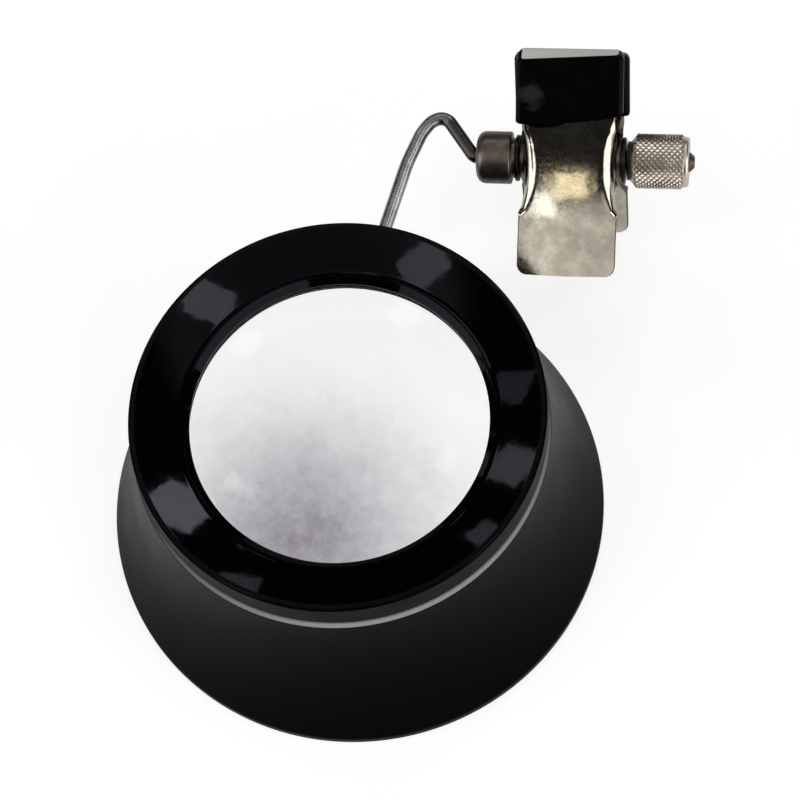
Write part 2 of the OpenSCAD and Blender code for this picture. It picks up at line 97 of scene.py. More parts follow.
def mottle(tree, size_mm, detail, roughness=0.5, seen=(0, 1), to=(0, 1)):
    """A value that wanders over the piece in blobs of this size, from the noise levels seen, spread
    over the range to."""
    place = add_node(tree, "TexCoord")
    blobs = add_node(tree, "TexNoise", {
        "Vector": place.outputs["Object"], "Scale": 1 / (size_mm * MM), "Detail": detail,
        "Roughness": roughness})
    return add_node(tree, "MapRange", {
        "Value": blobs, "From Min": seen[0], "From Max": seen[1], "To Min": to[0], "To Max": to[1]})


def rounded(corners, closed=True, steps=5):
    """A profile of (radius, height) points; a corner with a third value is rounded to that radius. A
    point close to each end of a rounding keeps the shading of the flats beside it flat."""
    points = []
    count = len(corners)
    for i, corner in enumerate(corners):
        here = Vector(corner[:2])
        fillet = corner[2] if len(corner) > 2 else 0
        if not fillet or (not closed and i in (0, count - 1)):
            points.append(here)
            continue
        before = (Vector(corners[i - 1][:2]) - here).normalized()
        after = (Vector(corners[(i + 1) % count][:2]) - here).normalized()
        half = acos(max(-1, min(1, before.dot(after)))) / 2
        centre = here + (before + after).normalized() * fillet / sin(half)
        reach, flat = fillet / tan(half), 0.015
        start = here + before * reach - centre
        end = here + after * reach - centre
        points.append(here + before * (reach + flat))
        sweep = atan2(start.x * end.y - start.y * end.x, start.dot(end))
        for k in range(steps + 1):
            points.append(centre + Matrix.Rotation(sweep * k / steps, 2) @ start)
        points.append(here + after * (reach + flat))
    return points


def turned(profile, place=Matrix(), steps=160, closed=True):
    """A solid of revolution about Z, put in its place. An open profile starts and ends on the axis."""
    bm = bmesh.new()
    rings = []
    for point in profile:
        if point[0] < 1e-6:
            rings.append([bm.verts.new(place @ Vector((0, 0, point[1] * MM)))])
            continue
        rings.append([
            bm.verts.new(place @ Vector((cos(2 * pi * k / steps) * point[0] * MM,
                                         sin(2 * pi * k / steps) * point[0] * MM, point[1] * MM)))
            for k in range(steps)])
    pairs = list(zip(rings, rings[1:])) + ([(rings[-1], rings[0])] if closed else [])
    for low, high in pairs:
        for k in range(steps):
            n = (k + 1) % steps
            corners = [low[k % len(low)], low[n % len(low)], high[n % len(high)], high[k % len(high)]]
            unique = list(dict.fromkeys(corners))
            if len(unique) > 2:
                bm.faces.new(unique)
    return bm


def rod(radius, start, end, place, steps=48):
    """A plain cylinder along Z, to join on or to cut away."""
    return turned([(0, start), (radius, start), (radius, end), (0, end)], place, steps, closed=False)


def make_piece(name, bm, material, sharp=40):
    """A smooth-shaded object from a mesh, with its edges sharp beyond an angle in degrees."""
    bmesh.ops.recalc_face_normals(bm, faces=bm.faces)
    mesh = bpy.data.meshes.new(name)
    bm.to_mesh(mesh)
    bm.free()
    mesh.materials.append(material)
    mesh.shade_smooth()
    mesh.set_sharp_from_angle(angle=radians(sharp))
    piece = bpy.data.objects.new(name, mesh)
    bpy.context.scene.collection.objects.link(piece)
    return piece


def cut_away(piece, tool_bm, operation="DIFFERENCE"):
    """Cuts a solid out of a piece, or joins it on, and leaves a plain mesh."""
    mesh = bpy.data.meshes.new("tool")
    bmesh.ops.recalc_face_normals(tool_bm, faces=tool_bm.faces)
    tool_bm.to_mesh(mesh)
    tool_bm.free()
    mesh.shade_smooth()
    tool = bpy.data.objects.new("tool", mesh)
    bpy.context.scene.collection.objects.link(tool)
    modifier = piece.modifiers.new("cut", "BOOLEAN")
    modifier.operation = operation
    modifier.object = tool
    modifier.solver = "EXACT"
    graph = bpy.context.evaluated_depsgraph_get()
    cut_mesh = bpy.data.meshes.new_from_object(piece.evaluated_get(graph))
    piece.modifiers.remove(modifier)
    piece.data = cut_mesh
    bpy.data.objects.remove(tool)
    cut_mesh.set_sharp_from_angle(angle=radians(40))


# Black ABS: the mould's fine spark texture makes it satin, so bright things near it show as a haze.
# The pale band round the neck's chamfer is a painted highlight. It is palest in front and to the right,
# and fades round the sides to a fifth of that.
satin_abs, tree = new_material("satin_black_abs")
haze = mottle(tree, 3.8, 4, seen=(0.3, 0.7), to=(0.25, 0.31))
grain = mottle(tree, 0.11, 3)
bump = add_node(tree, "Bump", {"Height": grain, "Strength": 0.06, "Distance": 0.02 * MM})
place = add_node(tree, "TexCoord")
spot = add_node(tree, "SeparateXYZ", {"Vector": place.outputs["Object"]})
chamfer = add_node(tree, "MapRange", {
    "Value": spot.outputs["Z"], "From Min": 17.02 * MM, "From Max": 17.06 * MM})
below_ring = add_node(tree, "MapRange", {
    "Value": spot.outputs["Z"], "From Min": 17.30 * MM, "From Max": 17.32 * MM, "To Min": 1, "To Max": 0})
side = add_node(tree, "Math", {0: spot.outputs["Y"], 1: -2, 2: spot.outputs["X"]}, operation="MULTIPLY_ADD")
# Painted highlight: how pale the band is, from a fifth at the back left to full in front and to the right
lit_side_fade = add_node(tree, "MapRange", {
    "Value": side, "From Min": 6 * MM, "From Max": 33 * MM, "To Min": 0.2, "To Max": 1})
band = add_node(tree, "Math", {0: chamfer, 1: below_ring}, operation="MULTIPLY")
pale = add_node(tree, "Math", {0: band, 1: lit_side_fade}, operation="MULTIPLY")
abs_colour = add_node(tree, "Mix", {0: pale, 6: linear("#020203"), 7: linear("#A5A3AB")}, data_type="RGBA")
shader = add_node(tree, "BsdfPrincipled", {
    "Base Color": abs_colour, "Roughness": haze, "IOR": 1.5, "Specular IOR Level": 0.02,
    "Specular Tint": linear("#F4E9FF"), "Normal": bump})
add_node(tree, "OutputMaterial", {"Surface": shader})

rim_r, band_h, shoulder_z, neck_r = 20, 1, 17.3, 15.95
flank_top, flank_bow, wall, thread_r, thread_z = 17.0, 0.7, 1.4, 14.55, 13.9


def flank_r(z):
    """Outer radius of the flank at a height, a cone that bows in."""
    t = (z - band_h) / (flank_top - band_h)
    return rim_r + (neck_r - rim_r) * t - 4 * flank_bow * t * (1 - t)


cup_outside = [(rim_r - wall, 0, 0.1), (rim_r, 0, 0.3), (rim_r, band_h, 0.9)]
cup_outside += [(flank_r(band_h + 0.5 * k), band_h + 0.5 * k) for k in range(3, 32)]
cup_outside += [(neck_r, flank_top, 0.1), (neck_r - 0.23, shoulder_z, 0.06)]
cup_inside = [(thread_r, shoulder_z, 0.1), (thread_r, thread_z)]
cup_inside += [(flank_r(13.6 - 0.6 * k) - wall, 13.6 - 0.6 * k) for k in range(20)]
cup_inside += [(rim_r - wall, 2, 0.2)]
cup = make_piece("cup_shell", turned(rounded(cup_outside + cup_inside), steps=240), satin_abs)

# The lug stands square on the flank; its frame comes from the joint that the wire turns in
arm_joint = next(j for j in frame["joints"] if j["name"] == "arm_turn")
lug_axis = Vector(arm_joint["axis"]).normalized()
lug_up = Vector((1, 0, 0)).cross(lug_axis)
lug_place = Matrix((Vector((-1, 0, 0)), lug_up, lug_axis)).transposed().to_4x4()
lug_place.translation = Vector(arm_joint["pos_m"])
lug_face, lug_r, lug_root, sleeve_r, sleeve_back = 20.8, 2.1, 17.0, 1.15, 17.3
lug_profile = rounded([(0, lug_root), (2.9, lug_root), (2.45, 17.9, 0.6), (lug_r, 18.7, 0.8),
                       (lug_r, lug_face, 0.3), (0, lug_face)], closed=False)
cut_away(cup, turned(lug_profile, lug_place, 64, closed=False), "UNION")
cut_away(cup, rod(sleeve_r, sleeve_back, 22, lug_place))
screw_y, screw_r = 19.05, 0.8
screw_place = lug_place @ Matrix.Translation((0, 0, screw_y * MM)) @ Matrix.Rotation(pi / 2, 4, "Y")
cut_away(cup, rod(screw_r, 1.1, 3, screw_place, 40))
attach(cup, "loupe")
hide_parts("cup")


# ---- Lug sleeve ----
# A turned brass sleeve, pressed into the lug from outside, in which the wire's end turns. The set
# screw's point passes through a hole in its side.
def wavy_metal(name, colour, dark, rough_low, rough_high, patch_mm, grain_mm):
    """Plated or bare metal: its tint and gloss drift in soft patches and fine grain breaks the shine."""
    material, tree = new_material(name)
    patches = mottle(tree, patch_mm, 5, 0.6, seen=(0.36, 0.62))
    tint = add_node(tree, "Mix", {0: patches, 6: linear(dark), 7: linear(colour)}, data_type="RGBA")
    gloss = mottle(tree, grain_mm, 4, 0.65, seen=(0.3, 0.7), to=(rough_low, rough_high))
    grain = mottle(tree, grain_mm, 4, 0.65)
    relief = add_node(tree, "Bump", {"Height": grain, "Strength": 0.5, "Distance": 0.0015 * MM})
    metal = add_node(tree, "BsdfPrincipled", {
        "Base Color": tint, "Metallic": 1, "Roughness": gloss, "Normal": relief})
    add_node(tree, "OutputMaterial", {"Surface": metal})
    return material


# Turned brass: warm yellow, with a soft machined shine
turned_brass = wavy_metal("turned_brass", "#C9A65A", "#B08C45", 0.22, 0.34, 1.2, 0.05)
wire_r, sleeve_bore = 0.55, 0.58
sleeve_profile = rounded([(sleeve_bore, sleeve_back), (sleeve_r, sleeve_back), (sleeve_r, lug_face, 0.08),
                          (sleeve_bore, lug_face, 0.12)])
lug_sleeve = make_piece("lug_sleeve_brass", turned(sleeve_profile, lug_place, 64), turned_brass)
screw_point_r = 0.33
cut_away(lug_sleeve, rod(screw_point_r + 0.03, 0.4, 2, screw_place, 32))
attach(lug_sleeve, "loupe")
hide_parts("lug_sleeve")

# ---- Lug set screw ----
# A small slotted grub screw of bare steel in the lug's side; its point runs in the wire's groove.
# Bare steel: cool grey, drawn or turned, with a faint long grain
bare_steel = wavy_metal("bare_steel", "#BDBCBE", "#A09FA2", 0.16, 0.30, 1.6, 0.06)
body_r, body_start = screw_r - 0.03, 1.18
screw_profile = rounded([(0, 0.48), (screw_point_r, 0.48), (screw_point_r, body_start),
                         (body_r, body_start), (body_r, lug_r, 0.08), (0, lug_r)], closed=False)
set_screw = make_piece("set_screw_slotted", turned(screw_profile, screw_place, 48, closed=False),
                       bare_steel)


def block(low, high, place=Matrix()):
    """A cutter for slots, from its lowest to its highest corner in mm."""
    bm = bmesh.new()
    bmesh.ops.create_cube(bm, size=1)
    for vert in bm.verts:
        spot = [(low[i] + high[i]) / 2 + vert.co[i] * (high[i] - low[i]) for i in range(3)]
        vert.co = place @ (Vector(spot) * MM)
    return bm


cut_away(set_screw, block((-0.15, -1, lug_r - 0.35), (0.15, 1, lug_r + 1), screw_place))
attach(set_screw, "loupe")
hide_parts("lug_set_screw")

# ---- Front ring ----
# The dished ring of the same ABS, turned smooth and polished, that screws into the cup's neck and
# holds the lens. Its crest is rounded, and its side was left satin, as moulded.
# Polished ABS: deep black with clear reflections, softened by fine wiping marks
polished_abs, tree = new_material("polished_black_abs")
wiped = mottle(tree, 1.1, 6, 0.7, seen=(0.35, 0.7), to=(0.03, 0.09))
waves = mottle(tree, 2.4, 2)
ripple = add_node(tree, "Bump", {"Height": waves, "Strength": 0.5, "Distance": 0.02 * MM})
shader = add_node(tree, "BsdfPrincipled", {
    "Base Color": linear("#040305"), "Roughness": wiped, "IOR": 1.5, "Specular IOR Level": 0.10,
    "Specular Tint": linear("#F4E9FF"), "Normal": ripple})
add_node(tree, "OutputMaterial", {"Surface": shader})
ring_r, ring_top, dish_z = 15.7, 20.3, 18.95
view_r, seat_r, seat_z, lens_back, lens_front = 11.35, 11.95, 16.35, 16.75, 18.15
spigot_r, spigot_z, crest_w, dish_bow = 14.5, 14.2, 0.45, 0.16
crest_in = ring_r - crest_w
dish_curve = []
for k in range(1, 11):
    t = k / 10
    dish_curve.append((crest_in - (crest_in - seat_r - 0.03) * t,
                       ring_top - (ring_top - dish_z) * t - dish_bow * t * (1 - t)))
ring_profile = rounded([
    (13.3, spigot_z, 0.2), (spigot_r, spigot_z, 0.3), (spigot_r, shoulder_z),
    (ring_r - 0.1, shoulder_z, 0.05), (ring_r, shoulder_z + 0.35, 0.2), (ring_r, ring_top, 0.2),
    (crest_in, ring_top, 0.15), *dish_curve,
    (seat_r, dish_z - 0.03), (seat_r, seat_z), (view_r + 0.15, seat_z), (view_r + 0.8, seat_z - 0.8, 0.1)])
front_ring = make_piece("dished_front_ring", turned(ring_profile, steps=240), polished_abs)
front_ring.data.materials.append(satin_abs)
for face in front_ring.data.polygons:
    if hypot(face.center.x, face.center.y) > (ring_r - 0.12) * MM:
        face.material_index = 1
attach(front_ring, "loupe")
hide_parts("front_ring")

# ---- Lens gasket ----
# A flat ring of moulded black rubber, laid on the front ring's ledge. It beds the lens and keeps
# dust out.
# Moulded rubber: matt and nearly black
black_rubber, tree = new_material("moulded_rubber")
chalk = mottle(tree, 0.25, 3, to=(0.7, 0.85))
shader = add_node(tree, "BsdfPrincipled", {"Base Color": linear("#19191B"), "Roughness": chalk, "IOR": 1.5})
add_node(tree, "OutputMaterial", {"Surface": shader})
gasket_in, gasket_out = view_r + 0.22, seat_r - 0.05
gasket_profile = rounded([(gasket_in, seat_z, 0.06), (gasket_out, seat_z), (gasket_out, lens_back),
                          (gasket_in, lens_back, 0.06)])
gasket = make_piece("rubber_lens_seat", turned(gasket_profile, steps=160), black_rubber)
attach(gasket, "loupe")
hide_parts("lens_gasket")

# ---- Lens ----
# A biconvex lens of polished crown glass with a ground flat land, clear enough to show the table
# through it. Light that only casts a shadow goes straight through.
# Crown glass: clear, with the weak reflections of a coated lens; its front half is tinted grey as painted
# shade, for the shadowed table inside the cup seen through it
lens_r, curve_r = 11.9, 58
crown_glass, tree = new_material("crown_glass")
film = mottle(tree, 7.1, 5, 0.6, seen=(0.45, 0.75), to=(0, 0.03))
place = add_node(tree, "TexCoord")
wisps = add_node(tree, "TexNoise", {
    "Vector": place.outputs["Object"], "Scale": 1 / (3 * MM), "Detail": 5, "Roughness": 0.65})
drift = add_node(tree, "VectorMath", {0: wisps.outputs["Color"], "Scale": 5.5 * MM}, operation="SCALE")
moved = add_node(tree, "VectorMath", {0: place.outputs["Object"], 1: drift}, operation="ADD")
from_spot = add_node(tree, "VectorMath", {0: moved, 1: Vector((1.2, -6.3, 20.5)) * MM},
                     operation="DISTANCE")
# Painted shade: the grey tint is strongest round a spot near the lens's front edge and fades away from it
shade_falloff = add_node(tree, "MapRange", {
    "Value": from_spot, "From Min": -1.8 * MM, "From Max": 16.5 * MM, "To Min": 1, "To Max": 0},
    interpolation_type="SMOOTHSTEP")
uneven = mottle(tree, 1.1, 6, 0.7, seen=(0.3, 0.7), to=(0.82, 1.12))
shade_amount = add_node(tree, "Math", {0: shade_falloff, 1: uneven}, operation="MULTIPLY")
shaded_glass_tint = add_node(tree, "Mix", {0: shade_amount, 6: linear("#FFFFFF"), 7: linear("#8B8590")}, data_type="RGBA")
glass = add_node(tree, "BsdfPrincipled", {
    "Base Color": shaded_glass_tint, "Roughness": film, "IOR": 1.52, "Specular Tint": (0.25, 0.25, 0.25, 1),
    "Transmission Weight": 1})
straight = add_node(tree, "BsdfTransparent", {"Color": linear("#F4F6F7")})
path = add_node(tree, "LightPath")
mix = add_node(tree, "MixShader", {"Fac": path.outputs["Is Shadow Ray"], 1: glass, 2: straight})
add_node(tree, "OutputMaterial", {"Surface": mix})


def cap_height(r):
    """How far a lens face stands above its land at a radius."""
    return sqrt(curve_r ** 2 - r ** 2) - sqrt(curve_r ** 2 - view_r ** 2)


radii = [view_r * (1 - k / 24) for k in range(25)]
lens_profile = [(r, lens_back - cap_height(r)) for r in reversed(radii)]
land_in = lens_r - 0.3
lens_profile += rounded([(land_in, lens_back), (lens_r, lens_back, 0.08), (lens_r, lens_front, 0.08),
                         (land_in, lens_front)], closed=False)
lens_profile += [(r, lens_front + cap_height(r)) for r in radii]
lens = make_piece("biconvex_lens", turned(lens_profile, steps=160, closed=False), crown_glass, sharp=20)
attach(lens, "loupe")
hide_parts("lens")

# ---- Lens ring ----
# The thin ring that screws down on the lens, turned and polished from the same ABS as the front
# ring, with two slots for a pin spanner.
underside = lens_front + 0.02
lens_ring_profile = rounded([(view_r, underside), (gasket_out, underside), (gasket_out, dish_z, 0.04),
                             (view_r, lens_front + 0.2, 0.05)])
lens_ring = make_piece("lens_ring_slotted", turned(lens_ring_profile, steps=200), polished_abs)
cut_away(lens_ring, block((-13, -0.4, dish_z - 0.7), (13, 0.4, dish_z + 1)))
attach(lens_ring, "loupe")
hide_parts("lens_ring")

# ---- Wire arm ----
# One length of drawn spring steel wire, 1.1 mm thick, bent by hand on a jig: a leg in the lug, two
# slow bends, a hairpin in three pulls and a last bend into the barrel. Pliers left two small nicks.
# Drawn steel: mid grey, with a dull sheen along the wire
drawn_steel = wavy_metal("drawn_steel_wire", "#B4B3B6", "#8E8D91", 0.20, 0.34, 2.2, 0.09)
wire_place = Matrix((Vector((1, 0, 0)), lug_axis, Vector((1, 0, 0)).cross(lug_axis))).transposed().to_4x4()
wire_place.translation = Vector(arm_joint["pos_m"])
clip_joint = next(j for j in frame["joints"] if j["name"] == "clip_flip")
pivot = wire_place.inverted() @ Vector(clip_joint["pos_m"]) / MM
shaft_dir = (wire_place.to_3x3().inverted() @ Vector(clip_joint["axis"])).normalized()
barrel_end, wire_hold, end_run = 7.7, 1.4, 0.29


def heading(angle):
    """A direction in the wire's plane, by its angle from the lug's line."""
    return Vector((sin(radians(angle)), cos(radians(angle)), 0))


leg_corner = Vector((0, 21.1, 0))
rise_corner = leg_corner + 6.35 * heading(12.3)
crown_corner = rise_corner + 2.85 * heading(19.5)
top_corner = crown_corner + 1.25 * heading(34)
end_corner = pivot - (end_run + barrel_end) * shaft_dir
hairpin_corner = end_corner - 4.28 * heading(140.5)
corners = [Vector((0, sleeve_back + 0.05, 0)), leg_corner, rise_corner, crown_corner, top_corner,
           hairpin_corner, end_corner, end_corner + (end_run + wire_hold) * shaft_dir]
bends = [0, 5, 12, 3, 1.5, 1.0, 0.6, 0]


def route(corners, bends, step=0.12):
    """Points along straight runs and round bends, in mm."""
    points = [corners[0]]
    for i in range(1, len(corners)):
        into = (corners[i] - corners[i - 1]).normalized()
        if i == len(corners) - 1:
            bend_points, start = [], corners[i]
        else:
            away = (corners[i + 1] - corners[i]).normalized()
            turn = into.angle(away)
            reach = bends[i] * tan(turn / 2)
            side = (away - away.dot(into) * into).normalized()
            start = corners[i] - reach * into
            count = max(4, int(bends[i] * turn / step))
            angles = [turn * k / count for k in range(1, count + 1)]
            bend_points = [start + bends[i] * (sin(a) * into + (1 - cos(a)) * side) for a in angles]
        length = (start - points[-1]).length
        count = max(1, int(length / step))
        last = points[-1]
        points += [last.lerp(start, k / count) for k in range(1, count + 1)]
        points += bend_points
    return points


def swept(points, radius_at, place=Matrix(), sides=32):
    """A round tube along points, closed at both ends; radius_at gives its radius by point and angle."""
    bm = bmesh.new()
    rings = []
    across = (points[1] - points[0]).orthogonal().normalized()
    for i, point in enumerate(points):
        ahead = (points[min(i + 1, len(points) - 1)] - points[max(i - 1, 0)]).normalized()
        across = (across - across.dot(ahead) * ahead).normalized()
        up = ahead.cross(across)
        ring = []
        for k in range(sides):
            out = cos(2 * pi * k / sides) * across + sin(2 * pi * k / sides) * up
            ring.append(bm.verts.new(place @ ((point + radius_at(point, out) * out) * MM)))
        rings.append(ring)
    for low, high in zip(rings, rings[1:]):
        for k in range(sides):
            n = (k + 1) % sides
            bm.faces.new((low[k], low[n], high[n], high[k]))
    bm.faces.new(rings[0])
    bm.faces.new(rings[-1])
    return bm


# Each nick's place, width and depth
nicks = [(Vector((0.65, 26.95, 0.40)), 0.17, 0.10), (Vector((0.75, 27.45, 0.45)), 0.15, 0.08)]


def nicked_radius(point, out):
    """The wire's radius, less the two nicks."""
    spot = point + wire_r * out
    dent = sum(depth * max(0, 1 - ((spot - at).length / size) ** 2) for at, size, depth in nicks)
    return wire_r - dent


# Painted shade: the last run of the wire, into the barrel, is coloured dark for the dark it reflects
tree = drawn_steel.node_tree
metal = next(node for node in tree.nodes if node.type == "BSDF_PRINCIPLED")
unshaded_colour = metal.inputs["Base Color"].links[0].from_socket
place = add_node(tree, "TexCoord")
to_end = add_node(tree, "VectorMath", {
    0: place.outputs["Object"], 1: wire_place @ (end_corner * MM)}, operation="DISTANCE")
shade_fade = add_node(tree, "MapRange", {"Value": to_end, "From Min": 3.5 * MM, "From Max": 4.9 * MM})
shaded_wire_colour = add_node(tree, "Mix", {0: shade_fade, 6: linear("#4A4746"), 7: unshaded_colour}, data_type="RGBA")
tree.links.new(shaded_wire_colour.outputs[2], metal.inputs["Base Color"])
wire = make_piece("bent_wire_arm", swept(route(corners, bends), nicked_radius, wire_place), drawn_steel)
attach(wire, "arm")
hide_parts("wire_arm")

# ---- Barrel ----
# A turned brass barrel under dark nickel, pressed on the wire's end and on the stud, with a rounded
# outer end and a narrower neck beside the clip.
# Dark nickel over brass: a smoky brown-grey with a soft wide shine, worn a little lighter
clip_x = Vector(clip_joint["axis"]).normalized()
clip_y = Vector(next(m for m in frame["record"]["mounts"] if m["name"] == "jaw_grip")["axis"]).normalized()
clip_z = clip_x.cross(clip_y).normalized()
clip_place = Matrix((clip_x, clip_z.cross(clip_x), clip_z)).transposed().to_4x4()
clip_place.translation = Vector(clip_joint["pos_m"])
shaft_place = clip_place @ Matrix.Rotation(pi / 2, 4, "Y")
dark_nickel = wavy_metal("dark_nickel_plate", "#7C736C", "#564F49", 0.28, 0.44, 1.4, 0.05)
barrel_r, barrel_x, barrel_neck_r, stud_r, neck_in = 2.15, 4.85, 1.65, 0.8, 4.5
hole_end = wire_hold - barrel_end
barrel_profile = rounded([
    (wire_r, -barrel_end), (barrel_r, -barrel_end, 0.75), (barrel_r, -barrel_x, 0.12),
    (barrel_neck_r, -barrel_x, 0.08), (barrel_neck_r, -neck_in, 0.05), (stud_r, -neck_in),
    (stud_r, hole_end), (wire_r, hole_end)], steps=8)
barrel = make_piece("turned_barrel", turned(barrel_profile, shaft_place, 128), dark_nickel)
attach(barrel, "arm")
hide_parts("barrel")

# ---- Washers ----
# Three stamped steel washers keep the clip's turning smooth: one flat one on each side of the ears,
# and a dished one under the nut.
# Dark steel with a low shine: painted shade, so that the washers stay dark in the gaps beside the ears
shade_dark_steel = wavy_metal("shade_darkened_steel", "#3A3735", "#242221", 0.25, 0.38, 1.2, 0.05)
washer_r, washer_t, bore_r = 1.9, 0.3, 0.83


def flat_washer(name, node, x):
    """A flat washer on the stud from x outwards, with its edges broken."""
    profile = rounded([(bore_r, x, 0.04), (washer_r, x, 0.07), (washer_r, x + washer_t, 0.07),
                       (bore_r, x + washer_t, 0.04)])
    piece = make_piece(name, turned(profile, shaft_place, 96), shade_dark_steel)
    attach(piece, "arm")
    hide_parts(node)


flat_washer("washer_by_barrel", "barrel_washer", -neck_in)
flat_washer("washer_by_nut", "nut_washer", 4.2)
dish, dished_r, dished_x = 0.12, 1.6, 4.53
dished_profile = rounded([(bore_r, dished_x), (dished_r, dished_x + dish, 0.03),
                          (dished_r, dished_x + washer_t, 0.03), (bore_r, dished_x + washer_t - dish)])
spring_washer = make_piece("dished_spring_washer", turned(dished_profile, shaft_place, 96), shade_dark_steel)
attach(spring_washer, "nut_seat")
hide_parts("spring_washer")

# ---- Stud ----
# An M1.6 stud of brass under the same dark nickel, pressed into the barrel. It is threaded where the
# nut runs on it, and its outer end is chamfered.
stud_start, thread_start, stud_end, pitch = -6.3, 4.9, 10.06, 0.35
thread_count = int((stud_end - 0.5 - thread_start) / pitch)
thread_depth = 0.14
thread = [(stud_r - thread_depth * (k % 2), thread_start + pitch * k / 2)
          for k in range(2 * thread_count + 1)]
stud_profile = [(0, stud_start), (stud_r, stud_start)] + thread
stud_profile += rounded([thread[-1], (stud_r, stud_end - 0.35, 0.1), (stud_r - 0.33, stud_end, 0.06),
                         (0, stud_end)], closed=False)
stud = make_piece("threaded_stud", turned(stud_profile, shaft_place, 72, closed=False), dark_nickel,
                  sharp=50)
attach(stud, "arm")
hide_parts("stud")

# ---- Front lever ----
# Stamped from 0.45 mm sheet brass and nickel plated: a flat jaw, a long handle that curves away from
# the other one, and at the waist two ears folded down round the stud.
# Bright nickel: warm, mirror-like but mottled by handling, with fine scratches; the outer ears are
# painted near black round the washers, as painted shade for the gap there
bright_nickel, tree = new_material("worn_nickel_plate")
cloud = mottle(tree, 1.4, 6, 0.6, seen=(0.38, 0.6))
plate_colour = add_node(tree, "Mix", {0: cloud, 6: linear("#C4BCAD"), 7: linear("#DED7C8")},
                        data_type="RGBA")
place = add_node(tree, "TexCoord")
across = add_node(tree, "VectorMath", {
    0: place.outputs["Object"], 1: clip_place.translation}, operation="SUBTRACT")
along = add_node(tree, "VectorMath", {0: across, 1: clip_x}, operation="DOT_PRODUCT")
outward = add_node(tree, "Math", {0: along}, operation="ABSOLUTE")
radial = add_node(tree, "VectorMath", {0: across, 1: clip_x}, operation="CROSS_PRODUCT")
from_axis = add_node(tree, "VectorMath", {0: radial}, operation="LENGTH")
# Painted shade: the outer ears, near the stud, are coloured near black
on_ear = add_node(tree, "MapRange", {"Value": outward, "From Min": 3.7 * MM, "From Max": 3.85 * MM})
near_washer = add_node(tree, "MapRange", {
    "Value": from_axis, "From Min": 2.6 * MM, "From Max": 3.4 * MM, "To Min": 1, "To Max": 0})
painted_shade_mask = add_node(tree, "Math", {0: on_ear, 1: near_washer}, operation="MULTIPLY")
shaded_plate_colour = add_node(tree, "Mix", {0: painted_shade_mask, 6: plate_colour, 7: linear("#24201E")}, data_type="RGBA")
wear = mottle(tree, 0.19, 5, 0.7, seen=(0.35, 0.72), to=(0.07, 0.19))
pull = mottle(tree, 0.67, 1)
press = mottle(tree, 2.3, 1, 0.4)
waves = add_node(tree, "Math", {0: press, 1: 6, 2: pull}, operation="MULTIPLY_ADD")
relief = add_node(tree, "Bump", {"Height": waves, "Strength": 0.5, "Distance": 0.008 * MM})
plate = add_node(tree, "BsdfPrincipled", {
    "Base Color": shaded_plate_colour, "Metallic": 1, "Roughness": wear, "Normal": relief})
add_node(tree, "OutputMaterial", {"Surface": plate})

jaw_len, tip_z, jaw_rise, handle_rise, handle_end = 9.0, 0.755, 0.1584, 0.4124, -8.2
bend_top, bend_foot, sheet_t, corner_r = 1.6, -4.5, 0.45, 0.8
ear_r, fold_r, ear_top, ear_foot, curl_top = 1.5, 0.8, 2.2, -3.9, 4.3


def lever_height(y):
    """Height of a lever's middle surface above the mid-plane, along the jaws."""
    if y > bend_top:
        return tip_z + (jaw_len - y) * jaw_rise
    knee = tip_z + (jaw_len - bend_top) * jaw_rise
    run = min(bend_top - y, bend_top - bend_foot)
    curve = (handle_rise - jaw_rise) / (bend_top - bend_foot) / 2
    return knee + jaw_rise * run + curve * run ** 2 + handle_rise * max(0, bend_foot - y)


def ear_bottom(y):
    """Height of an ear's edge: round the stud, and straight up to the sheet on both sides of it."""
    if y > 1.42:
        return -0.48 + (y - 1.42) * 2.31 / 0.78
    if y < -1.28:
        return -0.78 + (-1.28 - y) * 4.32 / 2.62
    return -sqrt(ear_r ** 2 - y ** 2)


def smooth(t):
    """A soft step from 0 to 1."""
    t = max(0.0, min(1.0, t))
    return t * t * (3 - 2 * t)


def lever_section(y, half, ear_x, columns=34):
    """The middle surface across a lever at y: a crowned sheet whose edges roll down into the ears, and
    curl a little between the ears and the sleeve."""
    waist = (ear_top + ear_foot) / 2
    t = (y - waist) / (curl_top - waist if y > waist else waist - ear_foot)
    edge_x = half - (0.2 if t > 0 else 0)
    crown = 0.009 * smooth((4.5 - y) / 2.2)
    drop, roll = 0, 0
    if abs(t) < 1:
        edge_x = ear_x + (edge_x - ear_x) * t * t
        roll = fold_r * (1 - t * t) + 0.02
        curl = roll * smooth((curl_top - y) / (curl_top - ear_top))
        drop = max(curl, lever_height(y) - crown * ear_x ** 2 - ear_bottom(y))
    elif y < handle_end + corner_r:
        edge_x -= corner_r - sqrt(max(0, corner_r ** 2 - (handle_end + corner_r - y) ** 2))
    middle_x = edge_x - sheet_t / 2 * smooth(drop / 0.6)
    flat_x = middle_x - roll if drop else middle_x
    turn = pi / 2 if drop >= roll else acos(1 - drop / roll)
    wall = max(0, drop - roll)
    reach = flat_x + (roll * turn if drop else 0) + wall
    points = []
    for k in range(-columns, columns + 1):
        s = abs(k) / columns * reach
        x, z = min(s, flat_x), 0
        if s > flat_x:
            a = min((s - flat_x) / roll, turn)
            below = max(0, s - flat_x - roll * turn)
            x, z = flat_x + roll * sin(a) + below * cos(turn), -roll * (1 - cos(a)) - below * sin(turn)
        points.append(Vector((x if k > 0 else -x, y, lever_height(y) - crown * min(x, flat_x) ** 2 + z)))
    return points


